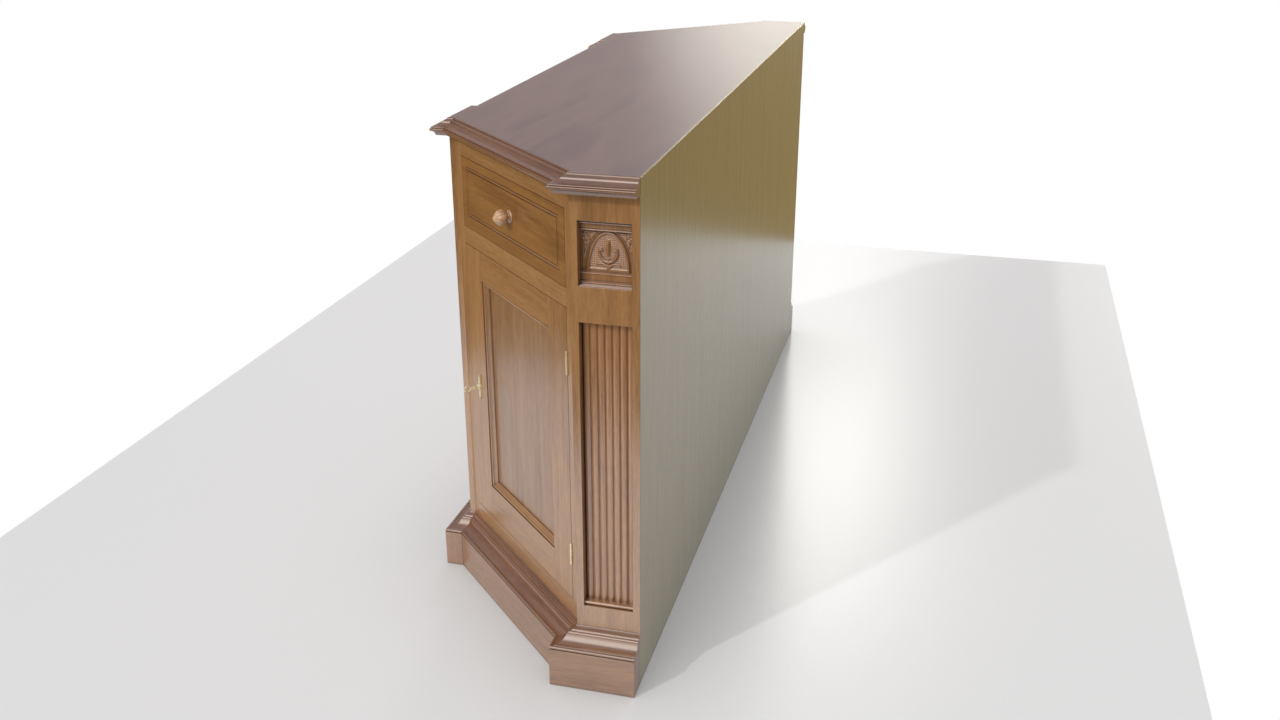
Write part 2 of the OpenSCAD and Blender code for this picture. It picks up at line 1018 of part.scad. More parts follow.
module front_right_door_panel() {
    front_bay(1)
        door_panel(front_open_w);
}

module front_right_door_hinges() {
    front_bay(1)
        leaves(1, hinge_pin_r + 0.05);
}

module front_right_door_lock() {
    front_bay(1)
        door_lock(front_open_w);
}

module front_right_key() {
    front_bay(1)
        door_key(front_open_w);
}

module front_right_bolt() {
    front_bay(1)
        door_bolt(front_open_w);
}

// ---------------------------------------------------------------- left front bay

module front_left_drawer_front() {
    front_bay(-1)
        drawer_front(front_open_w);
}

module front_left_drawer_box() {
    front_bay(-1)
        drawer_box(front_open_w, front_drawer_d);
}

module front_left_drawer_knob() {
    front_bay(-1)
        drawer_knob(front_open_w);
}

module front_left_door_frame() {
    front_bay(-1)
        door_frame(front_open_w);
}

module front_left_door_panel() {
    front_bay(-1)
        door_panel(front_open_w);
}

module front_left_door_hinges() {
    front_bay(-1)
        leaves(1, hinge_pin_r + 0.05);
}

module front_left_door_lock() {
    front_bay(-1)
        door_lock(front_open_w);
}

module front_left_key() {
    front_bay(-1)
        door_key(front_open_w);
}

module front_left_bolt() {
    front_bay(-1)
        door_bolt(front_open_w);
}

plinth();
glue_blocks();
floor_board();
base_moulding();
worktop();
worktop_moulding();
back_board();
end_pilaster_right();
end_pilaster_left();
front_pilaster_right();
front_pilaster_left();
reeded_panels();
carved_plaques();
cant_frame_right();
cant_frame_left();
front_frame();
partitions();
dust_boards();
drawer_runners();
shelves();
shelf_bearers();
frame_hinge_leaves();
hinge_pins();
cant_right_drawer_front();
cant_right_drawer_box();
cant_right_drawer_knob();
cant_left_drawer_front();
cant_left_drawer_box();
cant_left_drawer_knob();
front_right_drawer_front();
front_right_drawer_box();
front_right_drawer_knob();
front_left_drawer_front();
front_left_drawer_box();
front_left_drawer_knob();
cant_right_door_frame();
cant_right_door_panel();
cant_right_door_hinges();
cant_right_door_lock();
cant_right_key();
cant_right_bolt();
cant_left_door_frame();
cant_left_door_panel();
cant_left_door_hinges();
cant_left_door_lock();
cant_left_key();
cant_left_bolt();
front_right_door_frame();
front_right_door_panel();
front_right_door_hinges();
front_right_door_lock();
front_right_key();
front_right_bolt();
front_left_door_frame();
front_left_door_panel();
front_left_door_hinges();
front_left_door_lock();
front_left_key();
front_left_bolt();
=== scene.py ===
"""The looks of a canted hall cabinet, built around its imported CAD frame, in metres."""

import json
import math
import random

import bmesh
import bpy
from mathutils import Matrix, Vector


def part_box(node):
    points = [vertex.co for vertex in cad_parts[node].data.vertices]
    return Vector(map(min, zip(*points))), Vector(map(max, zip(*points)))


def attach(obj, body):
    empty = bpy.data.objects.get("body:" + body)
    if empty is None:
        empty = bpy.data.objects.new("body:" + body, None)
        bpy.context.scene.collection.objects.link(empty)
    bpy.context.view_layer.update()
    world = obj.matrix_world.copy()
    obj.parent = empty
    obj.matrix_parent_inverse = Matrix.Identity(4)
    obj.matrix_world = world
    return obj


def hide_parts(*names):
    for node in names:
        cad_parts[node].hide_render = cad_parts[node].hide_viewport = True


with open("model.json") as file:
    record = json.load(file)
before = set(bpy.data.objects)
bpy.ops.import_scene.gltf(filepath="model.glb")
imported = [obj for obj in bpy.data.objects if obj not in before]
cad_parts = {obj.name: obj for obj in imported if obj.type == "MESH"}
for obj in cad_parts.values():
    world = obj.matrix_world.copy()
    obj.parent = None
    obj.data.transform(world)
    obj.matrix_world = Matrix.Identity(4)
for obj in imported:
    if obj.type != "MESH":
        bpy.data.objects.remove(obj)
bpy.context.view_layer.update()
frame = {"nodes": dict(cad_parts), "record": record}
nodes = frame["nodes"]

MM = 0.001
ROOT_HALF = math.sqrt(0.5)


# ---------------------------------------------------------------- places from the frame


class Place:
    """A local frame on a face of the cabinet: s along it, n out of it, z up."""

    def __init__(self, corner, along, out):
        self.corner = Vector(corner)
        self.along = Vector(along)
        self.out = Vector(out)

    def at(self, s, n, z):
        point = self.corner + self.along * s + self.out * n
        return Vector((point.x, point.y, z))

    def mirrored(self):
        return Place(
            (-self.corner.x, self.corner.y, 0),
            (-self.along.x, self.along.y, 0),
            (-self.out.x, self.out.y, 0),
        )


end_low, end_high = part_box("end_pilaster_right")
pilaster_low, pilaster_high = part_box("front_pilaster_right")
frame_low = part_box("front_frame")[0]
PILASTER_W = end_high.y - end_low.y
CANT_DROP = end_low.y - frame_low.y
FRONT_L = pilaster_low.x

cant_place = Place(
    (pilaster_high.x + CANT_DROP, end_low.y, 0),
    (-ROOT_HALF, -ROOT_HALF, 0),
    (ROOT_HALF, -ROOT_HALF, 0),
)
front_place = Place((FRONT_L, frame_low.y, 0), (-1, 0, 0), (0, -1, 0))
end_pilaster_place = Place((end_high.x, end_high.y, 0), (0, -1, 0), (1, 0, 0))
front_pilaster_place = Place((pilaster_high.x, pilaster_low.y, 0), (-1, 0, 0), (0, -1, 0))

BAYS = {
    "cant_right": cant_place,
    "cant_left": cant_place.mirrored(),
    "front_right": front_place,
    "front_left": front_place.mirrored(),
}
PILASTERS = {
    "end_right": end_pilaster_place,
    "end_left": end_pilaster_place.mirrored(),
    "front_right": front_pilaster_place,
    "front_left": front_pilaster_place.mirrored(),
}

# ---------------------------------------------------------------- grain carried by each solid

X_AXIS = Vector((1, 0, 0))
Y_AXIS = Vector((0, 1, 0))
Z_AXIS = Vector((0, 0, 1))
BOARD_SIDES = (
    (X_AXIS, Y_AXIS),
    (Vector((ROOT_HALF, ROOT_HALF, 0)), Vector((ROOT_HALF, -ROOT_HALF, 0))),
)
UPRIGHT_GRAIN = ("back_board", "reeded_panels", "carved_plaques")
# Every solid is cut from its own place in a block of timber this many metres wide
TIMBER_BLOCK = 9
SAME_PLACE_DIGITS = 6
dice = random.Random(7)


def solid_groups(mesh):
    """The vertices of each separate solid, found through the places that its faces share."""
    parent = {}

    def root(a):
        while parent[a] != a:
            parent[a] = parent[parent[a]]
            a = parent[a]
        return a

    keys = [tuple(round(c, SAME_PLACE_DIGITS) for c in v.co) for v in mesh.vertices]
    for key in keys:
        parent.setdefault(key, key)
    for polygon in mesh.polygons:
        first = root(keys[polygon.vertices[0]])
        for index in polygon.vertices[1:]:
            parent[root(keys[index])] = first
    groups = {}
    for index, key in enumerate(keys):
        groups.setdefault(root(key), []).append(index)
    return list(groups.values())


def reach(points, axis):
    """The points' extent along an axis."""
    along = [p.dot(axis) for p in points]
    return max(along) - min(along)


def longest_axis(points):
    """The long way of a board: upright, or along a side of its smaller footprint."""
    sides = min(BOARD_SIDES, key=lambda pair: reach(points, pair[0]) * reach(points, pair[1]))
    return max((Z_AXIS, *sides), key=lambda axis: reach(points, axis))


def set_grain(obj, upright=False):
    """Gives each solid its own grain direction, its own place in the timber and its own tone."""
    mesh = obj.data
    grain = [0.0] * (3 * len(mesh.vertices))
    tone = [0.0] * len(mesh.vertices)
    for group in solid_groups(mesh):
        points = [mesh.vertices[i].co.copy() for i in group]
        along = Z_AXIS if upright else longest_axis(points)
        if along != Z_AXIS:
            across = Z_AXIS.cross(along)
        elif reach(points, X_AXIS) > reach(points, Y_AXIS):
            across = X_AXIS
        else:
            across = Y_AXIS
        depth = along.cross(across)
        shift = Vector([dice.uniform(0, TIMBER_BLOCK) for _ in range(3)])
        shade = dice.random()
        for i, p in zip(group, points):
            grain[3 * i : 3 * i + 3] = Vector((p.dot(along), p.dot(across), p.dot(depth))) + shift
            tone[i] = shade
    mesh.attributes.new("grain", "FLOAT_VECTOR", "POINT")
    mesh.attributes["grain"].data.foreach_set("vector", grain)
    mesh.attributes.new("tone", "FLOAT", "POINT")
    mesh.attributes["tone"].data.foreach_set("value", tone)


# ---------------------------------------------------------------- node building


class Nodes:
    """A short way to add and join shader nodes."""

    def __init__(self, owner):
        owner.use_nodes = True
        self.owner = owner
        self.tree = owner.node_tree
        self.tree.nodes.clear()

    def add(self, kind, values=None, links=None, **settings):
        made = self.tree.nodes.new(kind)
        for key, value in settings.items():
            setattr(made, key, value)
        for key, value in (values or {}).items():
            made.inputs[key].default_value = value
        for key, source in (links or {}).items():
            self.tree.links.new(source, made.inputs[key])
        return made

    def scaled(self, vector, scale):
        made = self.add("ShaderNodeVectorMath", {1: scale}, {0: vector}, operation="MULTIPLY")
        return made.outputs[0]

    def noise(self, vector, detail=4.0, roughness=0.55, distortion=0.0, scale=1.0):
        values = {"Scale": scale, "Detail": detail, "Roughness": roughness, "Distortion": distortion}
        return self.add("ShaderNodeTexNoise", values, {"Vector": vector}).outputs["Fac"]

    def math(self, operation, a, b):
        made = self.add("ShaderNodeMath", operation=operation)
        for index, value in enumerate((a, b)):
            if isinstance(value, (int, float)):
                made.inputs[index].default_value = value
            else:
                self.tree.links.new(value, made.inputs[index])
        return made.outputs[0]

    def ramp(self, factor, stops):
        made = self.add("ShaderNodeValToRGB", links={"Fac": factor})
        elements = made.color_ramp.elements
        while len(elements) < len(stops):
            elements.new(0.5)
        for element, (position, colour) in zip(elements, stops):
            element.position = position
            element.color = (*colour, 1) if len(colour) == 3 else colour
        return made.outputs["Color"]

    def grey_ramp(self, factor, low, high):
        """0 at low and 1 at high, straight between."""
        made = self.add("ShaderNodeMapRange", {"From Min": low, "From Max": high}, {"Value": factor})
        return made.outputs["Result"]

    def mix(self, factor, a, b, blend="MIX"):
        made = self.add("ShaderNodeMix", data_type="RGBA", blend_type=blend)
        for index, value in ((0, factor), (6, a), (7, b)):
            if isinstance(value, (int, float)):
                made.inputs[index].default_value = value
            elif isinstance(value, tuple):
                made.inputs[index].default_value = (*value, 1)
            else:
                self.tree.links.new(value, made.inputs[index])
        return made.outputs[2]

    def attribute(self, name, output):
        """A value that the mesh carries."""
        made = self.add("ShaderNodeAttribute", attribute_name=name, attribute_type="GEOMETRY")
        return made.outputs[output]

    def bump(self, height, strength, distance):
        values = {"Strength": strength, "Distance": distance}
        return self.add("ShaderNodeBump", values, {"Height": height}).outputs["Normal"]

    def finish(self, surface, kind="ShaderNodeOutputMaterial"):
        output = self.add(kind)
        self.tree.links.new(surface, output.inputs["Surface"])
        return self.owner


# How far the dark and the light wood are from the middle colour, as parts of its red, green and blue
DARKER = (0.36, 0.42, 0.50)
LIGHTER = (0.30, 0.42, 0.55)
# Features in a metre of timber: along the grain, then across it both ways
BROAD_FIGURE = (1.6, 11, 11)
STREAKS = (5, 85, 85)
FLECKS = (40, 330, 330)
PORES = (75, 1500, 1500)
# How often growth rings cross the broad figure, and how far streaks push them aside
RINGS = 26.0
RING_WOBBLE = 3.0
# How much each of these counts in the colour
STREAK_PART = 0.55
FLECK_PART = 0.45
RING_PART = 0.11
BROAD_PART = 0.26
TONE_PART = 0.06
# Pores: where the noise turns into a pore, how strong it is, and its colour as a part of the dark wood's
PORE_FROM, PORE_TO = 0.58, 0.74
PORE_STRENGTH = 0.25
PORE_SHADE = 0.5
# Painted shade in corners, crevices and recesses: how far it reaches, how closed in a place is where it
# starts and ends, and its colour
CREVICE = 11 * MM
PAINTED_SHADE_FROM, PAINTED_SHADE_TO = 0.85, 0.30
PAINTED_SHADE_DIM = 0.3
# The varnish's roughness varies by this much, and the bumps of the grain are this deep
GLOSS_SPREAD = 0.12
GRAIN_DEPTH = 0.5 * MM
PORE_SINK = -0.7
AO_SAMPLES = 8


def wood_figure(n, place, tone, figure):
    """How light the timber is at a place, and the streaks and flecks in it."""
    broad = n.noise(n.scaled(place, BROAD_FIGURE), 3, 0.5, 0.3)
    streak = n.noise(n.scaled(place, STREAKS), 5, 0.6, 0.3)
    fleck = n.noise(n.scaled(place, FLECKS), 3, 0.6, 0.2)
    ring_place = n.math("ADD", n.math("MULTIPLY", broad, RINGS), n.math("MULTIPLY", streak, RING_WOBBLE))
    ring = n.math("MULTIPLY", n.math("ADD", n.math("SINE", ring_place, 0), 1.0), 0.5)
    fibre = n.math("ADD", n.math("MULTIPLY", streak, STREAK_PART), n.math("MULTIPLY", fleck, FLECK_PART))
    ring_part = RING_PART * figure
    body = n.math("ADD", n.math("MULTIPLY", fibre, 1 - ring_part), n.math("MULTIPLY", ring, ring_part))
    own_tone = n.math("MULTIPLY", n.math("SUBTRACT", tone, 0.5), TONE_PART)
    body = n.math("ADD", body, own_tone)
    cloud = n.math("MULTIPLY", n.math("SUBTRACT", broad, 0.5), BROAD_PART * figure)
    return n.math("ADD", body, cloud), streak, fleck


def shaded(colour, part):
    """The colour dimmed to a part of itself."""
    return tuple(c * part for c in colour)


def wood(name, middle, rough=0.24, coat=1.0, ior=2.4, figure=1.0, bump=0.05, spread=1.0, painted_shade=0.75):
    """Varnished timber whose figure runs along the grain that each solid carries."""
    dark = tuple(c * (1 - part * spread) for c, part in zip(middle, DARKER))
    light = tuple(c * (1 + part * spread) for c, part in zip(middle, LIGHTER))
    n = Nodes(bpy.data.materials.new(name))
    place = n.attribute("grain", "Vector")
    tone = n.attribute("tone", "Fac")
    body, streak, fleck = wood_figure(n, place, tone, figure)
    colour = n.ramp(body, [(0.30, dark), (0.50, middle), (0.70, light)])
    pores = n.grey_ramp(n.noise(n.scaled(place, PORES), 2, 0.5), PORE_FROM, PORE_TO)
    colour = n.mix(n.math("MULTIPLY", pores, PORE_STRENGTH), colour, shaded(dark, PORE_SHADE))
    # Painted shade: the colour darkens towards the dark wood where corners, crevices and recesses close a
    # place in, as if shade fell there
    hollow = n.add("ShaderNodeAmbientOcclusion", {"Distance": CREVICE}, samples=AO_SAMPLES).outputs["AO"]
    painted_shade_part = n.math("MULTIPLY", n.grey_ramp(hollow, PAINTED_SHADE_FROM, PAINTED_SHADE_TO), painted_shade)
    colour = n.mix(painted_shade_part, colour, shaded(dark, PAINTED_SHADE_DIM))
    gloss = n.math("ADD", n.math("MULTIPLY", fleck, GLOSS_SPREAD), rough - GLOSS_SPREAD / 2)
    height = n.math("ADD", n.math("MULTIPLY", streak, 0.5), n.math("MULTIPLY", pores, PORE_SINK))
    normal = n.bump(height, bump, GRAIN_DEPTH)
    values = {"Roughness": 0.6, "Specular IOR Level": 0.1, "Coat Weight": coat, "Coat IOR": ior}
    links = {"Base Color": colour, "Coat Roughness": gloss, "Normal": normal, "Coat Normal": normal}
    return n.finish(n.add("ShaderNodeBsdfPrincipled", values, links).outputs["BSDF"])


BRASS_STOPS = [(0.35, (0.84, 0.74, 0.44)), (0.5, (0.94, 0.87, 0.60)), (0.7, (0.98, 0.94, 0.74))]
RUBBING_MARKS = (900, 900, 3200)
RUB_DEPTH = 0.3 * MM


def brass(name):
    """Polished brass with fine rubbing marks and tarnish."""
    n = Nodes(bpy.data.materials.new(name))
    place = n.add("ShaderNodeTexCoord").outputs["Object"]
    cloud = n.noise(place, 5, 0.6, 0.4, 90)
    rub = n.noise(n.scaled(place, RUBBING_MARKS), 3, 0.6)
    colour = n.ramp(cloud, BRASS_STOPS)
    roughness = n.math("ADD", n.math("MULTIPLY", rub, 0.2), 0.16)
    normal = n.bump(rub, 0.12, RUB_DEPTH)
    shader = n.add(
        "ShaderNodeBsdfPrincipled",
        {"Metallic": 0.7},
        {"Base Color": colour, "Roughness": roughness, "Normal": normal},
    )
    return n.finish(shader.outputs["BSDF"])


WOODS = {
    "case_wood": wood("case_wood", (0.335, 0.165, 0.058), ior=2.75),
    "door_wood": wood("door_wood", (0.325, 0.156, 0.054), ior=2.5, painted_shade=0.6),
    "drawer_wood": wood("drawer_wood", (0.256, 0.110, 0.027), figure=1.6, painted_shade=0.5),
    "panel_wood": wood("panel_wood", (0.285, 0.150, 0.068), ior=2.5),
    "carved_wood": wood("carved_wood", (0.340, 0.166, 0.072), 0.2, ior=2.5),
    "moulding_wood": wood("moulding_wood", (0.200, 0.080, 0.031), 0.2, ior=2.5, bump=0.012),
    "plinth_wood": wood("plinth_wood", (0.265, 0.122, 0.050)),
    "top_wood": wood("top_wood", (0.170, 0.074, 0.036), 0.18, figure=1.8, bump=0.012),
    "knob_wood": wood("knob_wood", (0.600, 0.360, 0.185), 0.24, ior=2.2),
    "inside_wood": wood("inside_wood", (0.400, 0.270, 0.140), 0.6, 0.0),
    "back_wood": wood("back_wood", (0.300, 0.240, 0.092), figure=0.5, bump=0.01, spread=0.35),
}
MATERIALS = dict(WOODS, brass=brass("brass"))
SLOT_OF = {row["node"]: row["material_slot"] for row in frame["record"]["subparts"]}

# ---------------------------------------------------------------- soft arrises on the CAD nodes

FINE_MESHES = ("base_moulding", "worktop_moulding", "reeded_panels")
BRASS_ARRIS = 0.15 * MM
FINE_ARRIS = 0.3 * MM
BOARD_ARRIS = 0.6 * MM
MERGE_DISTANCE = 0.01 * MM
FLAT_ANGLE = math.radians(0.3)
ARRIS_ANGLE = math.radians(32)


def arris_width(node):
    if SLOT_OF[node] == "brass":
        return BRASS_ARRIS
    if node in FINE_MESHES or node.endswith(("drawer_front", "door_frame")):
        return FINE_ARRIS
    return BOARD_ARRIS


def soften(obj, width):
    """Joins the split faces of a CAD mesh, rounds its sharp edges and shades it smoothly."""
    for polygon in obj.data.polygons:
        polygon.use_smooth = True
    weld = obj.modifiers.new("weld", "WELD")
    weld.merge_threshold = MERGE_DISTANCE
    flats = obj.modifiers.new("flats", "DECIMATE")
    flats.decimate_type = "DISSOLVE"
    flats.angle_limit = FLAT_ANGLE
    bevel = obj.modifiers.new("arris", "BEVEL")
    bevel.width = width
    bevel.segments = 2
    bevel.limit_method = "ANGLE"
    bevel.angle_limit = ARRIS_ANGLE
    bevel.use_clamp_overlap = False
    shade = obj.modifiers.new("shade", "WEIGHTED_NORMAL")
    shade.keep_sharp = True
    shade.weight = 80


def dress_cad():
    for name, obj in nodes.items():
        slot = SLOT_OF[name]
        obj.data.materials.clear()
        obj.data.materials.append(MATERIALS[slot])
        if slot != "brass":
            set_grain(obj, name in UPRIGHT_GRAIN)
        soften(obj, arris_width(name))


dress_cad()

# ---------------------------------------------------------------- carved plaques

# The carving is drawn in mm: u across from the plaque's middle, v up from its foot. Depths are
# behind the pilaster's face and heights are over the ground of the carved field.
plaque_low, plaque_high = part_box("carved_plaques")
PLAQUE_H = (plaque_high.z - plaque_low.z) / MM
PLAQUE_W = 96.0
PLAQUE_COLUMNS, PLAQUE_ROWS = 132, 190
PLAQUE_BACK = 34.0
PLAQUE_GROUND = 26.0
FIELD_HALF_W = 46.3
FIELD_SIDE_FALL = 2.2
# Bands under and over the field, from the plaque's edge inwards: the band's inner edge, its depth
# and, where it has a bead, the bead's middle, half width and height
FOOT_BANDS = [
    (1.2, 3.0), (2.2, 14.0), (5.4, 15.5, (3.8, 1.6, 4.0)), (6.4, 21.0), (18.6, 19.0),
    (20.6, 17.5, (19.6, 1.0, 1.4)),
]
HEAD_BANDS = [
    (113.5, 9.0), (108.0, 15.0, (110.8, 2.7, 5.0)), (106.6, 19.5), (100.5, 16.5), (99.6, 19.0),
    (95.5, 19.0, (97.5, 2.0, 3.0)), (94.0, 23.5),
]


def ridge(distance, half_width, height):
    """Height of a rounded bead at a distance from its middle."""
    if abs(distance) >= half_width:
        return 0.0
    return height * math.sqrt(1 - (distance / half_width) ** 2)


def curve_distance(u, v, points):
    """Distance to a line through points, and how far along it, from 0 to 1."""
    best, where = 1e9, 0.0
    count = len(points) - 1
    for i in range(count):
        (au, av), (bu, bv) = points[i], points[i + 1]
        du, dv = bu - au, bv - av
        t = ((u - au) * du + (v - av) * dv) / (du * du + dv * dv)
        t = min(1.0, max(0.0, t))
        distance = math.hypot(u - au - t * du, v - av - t * dv)
        if distance < best:
            best, where = distance, (i + t) / count
    return best, where


def bezier(a, b, c, steps=10):
    """Points of a curve from a to c, drawn towards b."""

    def at(t):
        return tuple((1 - t) ** 2 * p + 2 * t * (1 - t) * q + t * t * r for p, q, r in zip(a, b, c))

    return [at(i / steps) for i in range(steps + 1)]


# The arch, its outer line and the punched ground inside it
ARCH_W, ARCH_H, ARCH_FOOT = 36.5, 71.0, 21.0
ARCH_HALF, ARCH_RISE = 2.6, 4.6
OUTER_ARCH, OUTER_HALF, OUTER_RISE = 4.4, 1.1, 2.0
GROUND_WAVE, GROUND_RISE = 0.85, 0.8
# Two scrolls that end in round eyes, and two low leaves under them
SCROLL = bezier((1, 40), (12, 41), (16.5, 55)) + bezier((16.5, 55), (17.5, 62), (12.5, 62.5), 5)[1:]
SCROLL_HALF, SCROLL_TAPER, SCROLL_RISE = 3.3, 1.3, 4.8
SCROLL_EYE, EYE_HALF, EYE_RISE = (12.3, 60.5), 3.0, 5.4
LOW_LEAF = bezier((1, 30), (10, 41), (21, 34))
LOW_LEAF_HALF, LOW_LEAF_TAPER, LOW_LEAF_RISE = 3.0, 1.6, 3.6
# The upright leaf, the stalk under it, the bud between them and the sill at the foot
LEAF_MIDDLE, LEAF_HALF_H, LEAF_HALF_W = 63.5, 16.0, 5.2
LEAF_CURVE, LEAF_TIP_SLOPE = 1.7, 2.2
LEAF_EDGE, LEAF_RISE = 1.0, 5.0
STALK_FOOT, STALK_HEAD, STALK_HALF, STALK_RISE = 26, 46, 2.4, 4.2
BUD_V, BUD_HALF, BUD_RISE = 43.5, 3.2, 5.6
SILL_LOW, SILL_HIGH, SILL_RISE = 22.5, 27.5, 2.6
# The leaves in the corners over the arch, with cut veins and a ripple
SPANDREL_TOP, SPANDREL_SIDE, SPANDREL_GAP = 93, 46.5, 6.0
SPANDREL_EDGE, SPANDREL_SLOPE, SPANDREL_RISE = 1.4, 1.2, 3.4
SPANDREL_VEINS = [((46, 90), (30, 78)), ((46, 90), (36, 62)), ((46, 88), (42, 48)), ((44, 91), (20, 88))]
VEIN_HALF, VEIN_DEPTH = 1.3, 1.6
RIPPLE_U, RIPPLE_V, RIPPLE_RISE, RIPPLE_FADE = 0.9, 0.5, 0.5, 3


def arch_distance(u, v):
    """Distance to the arch's line, below 0 inside it."""
    if v < ARCH_FOOT:
        return abs(u) - ARCH_W
    f = math.hypot(u / ARCH_W, (v - ARCH_FOOT) / ARCH_H)
    gradient = math.hypot(u / ARCH_W**2, (v - ARCH_FOOT) / ARCH_H**2) / max(f, 1e-6)
    return (f - 1) / max(gradient, 1e-6)


def leaf_height(u, v):
    """The upright leaf in the middle of the arch, with a sharp spine."""
    to_tip = abs(v - LEAF_MIDDLE) / LEAF_HALF_H
    if to_tip >= 1:
        return 0.0
    half = LEAF_HALF_W * (1 - to_tip**LEAF_CURVE)
    if u >= half:
        return 0.0
    return LEAF_EDGE + LEAF_RISE * (1 - u / half) * min(1.0, LEAF_TIP_SLOPE * (1 - to_tip))


def arch_carving(u, v):
    """What stands inside the arch: leaf, scrolls, low leaves, stalk, sill and bud on a punched ground."""
    scroll, along_scroll = curve_distance(u, v, SCROLL)
    low_leaf, along_leaf = curve_distance(u, v, LOW_LEAF)
    return max(
        GROUND_RISE * abs(math.sin(GROUND_WAVE * u) * math.sin(GROUND_WAVE * v)),
        leaf_height(u, v),
        ridge(scroll, SCROLL_HALF - SCROLL_TAPER * along_scroll, SCROLL_RISE),
        ridge(math.hypot(u - SCROLL_EYE[0], v - SCROLL_EYE[1]), EYE_HALF, EYE_RISE),
        ridge(low_leaf, LOW_LEAF_HALF - LOW_LEAF_TAPER * along_leaf, LOW_LEAF_RISE),
        ridge(u, STALK_HALF, STALK_RISE) if STALK_FOOT < v < STALK_HEAD else 0.0,
        SILL_RISE if SILL_LOW < v < SILL_HIGH else 0.0,
        ridge(math.hypot(u, v - BUD_V), BUD_HALF, BUD_RISE),
    )


def field_height(u, v):
    """Height of the carving over the ground of the field."""
    u = abs(u)
    arch = arch_distance(u, v)
    height = max(ridge(arch, ARCH_HALF, ARCH_RISE), ridge(arch - OUTER_ARCH, OUTER_HALF, OUTER_RISE))
    if arch < 0:
        return max(height, arch_carving(u, v))
    spandrel = min(arch - SPANDREL_GAP, SPANDREL_TOP - v, SPANDREL_SIDE - u)
    if spandrel <= 0:
        return height
    height = max(height, min(SPANDREL_RISE, SPANDREL_EDGE + spandrel * SPANDREL_SLOPE))
    for vein in SPANDREL_VEINS:
        height -= ridge(curve_distance(u, v, vein)[0], VEIN_HALF, VEIN_DEPTH)
    ripple = RIPPLE_RISE * math.sin(u * RIPPLE_U + v * RIPPLE_V)
    return height + ripple * min(1.0, spandrel / RIPPLE_FADE)


def band_depth(v, depth, bead=None):
    if bead is None:
        return depth
    middle, half_width, height = bead
    return depth - ridge(v - middle, half_width, height)


def plaque_depth(u, v):
    """Depth of the plaque's surface behind the pilaster's face."""
    for edge, *band in FOOT_BANDS:
        if v < edge:
            return band_depth(v, *band)
    for edge, *band in HEAD_BANDS:
        if v > edge:
            return band_depth(v, *band)
    beyond_field = max(0.0, abs(u) - FIELD_HALF_W)
    return PLAQUE_GROUND - field_height(u, v) - beyond_field * FIELD_SIDE_FALL


def finished_mesh(bm, name):
    """A mesh whose faces all look outwards."""
    bmesh.ops.recalc_face_normals(bm, faces=bm.faces)
    mesh = bpy.data.meshes.new(name)
    bm.to_mesh(mesh)
    bm.free()
    return mesh


def plaque_mesh(name, place):
    """A closed block whose front is a grid that follows the carving."""
    bm = bmesh.new()
    grid = []
    for row in range(PLAQUE_ROWS + 1):
        v = PLAQUE_H * row / PLAQUE_ROWS
        line = []
        for column in range(PLAQUE_COLUMNS + 1):
            u = PLAQUE_W * (column / PLAQUE_COLUMNS - 0.5)
            point = place.at(PILASTER_W / 2 + u * MM, -plaque_depth(u, v) * MM, plaque_low.z + v * MM)
            line.append(bm.verts.new(point))
        grid.append(line)
    for low, high in zip(grid, grid[1:]):
        for i in range(PLAQUE_COLUMNS):
            bm.faces.new((low[i], low[i + 1], high[i + 1], high[i]))
    left_side = [line[0] for line in grid[-2:0:-1]]
    right_side = [line[-1] for line in grid[1:]]
    rim = grid[0] + right_side + grid[-1][-2::-1] + left_side
    rear = []
    for vertex in rim:
        offset = place.out.dot(vertex.co - place.corner)
        rear.append(bm.verts.new(vertex.co - place.out * (offset + PLAQUE_BACK * MM)))
    for i, vertex in enumerate(rim):
        after = (i + 1) % len(rim)
        bm.faces.new((vertex, rear[i], rear[after], rim[after]))
    bm.faces.new(rear)
    mesh = finished_mesh(bm, name)
    for polygon in mesh.polygons:
        polygon.use_smooth = len(polygon.vertices) == 4
    return mesh


def link(name, mesh, material):
    """A shown piece with its material."""
    obj = bpy.data.objects.new(name, mesh)
    bpy.context.scene.collection.objects.link(obj)
    obj.data.materials.append(material)
    return obj


def add_plaques():
    for pilaster, place in PILASTERS.items():
        name = f"plaque_{pilaster}"
        obj = link(name, plaque_mesh(name, place), MATERIALS["carved_wood"])
        set_grain(obj, upright=True)
        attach(obj, "root")
        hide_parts("carved_plaques")


add_plaques()

# ---------------------------------------------------------------- turned and carved knobs

# Rings of the knob from the drawer outwards, in mm: height, radius and how far the lobes are cut,
# for the rosette foot, the neck, the lobed ball and the nub at its tip
KNOB_FOOT = [(0.0, 12.2, 0), (1.0, 12.4, 0), (2.0, 11.9, 0), (2.8, 10.4, 0), (3.4, 8.4, 0)]
KNOB_NECK = [(4.4, 7.0, 0), (5.6, 6.4, 0), (6.8, 6.6, 0)]
KNOB_BALL = [
    (7.6, 7.6, 0.1), (8.6, 9.5, 0.3), (10.2, 11.8, 0.6), (12.2, 13.6, 0.9), (14.6, 14.9, 1.0),
    (17.4, 15.4, 1.0), (20.4, 15.1, 1.0), (23.4, 14.1, 1.0), (26.2, 12.3, 0.9), (28.6, 9.9, 0.75),
    (30.4, 7.5, 0.6), (31.6, 5.5, 0.35),
]
KNOB_NUB = [(32.0, 4.8, 0), (32.8, 4.5, 0), (33.6, 3.5, 0), (34.0, 1.9, 0)]
KNOB_SEGMENTS = 128
KNOB_LOBES = 8
LOBE_CUT = 0.13
LOBE_SHARPNESS = 2.2
LOBE_SHORTENING = 0.25


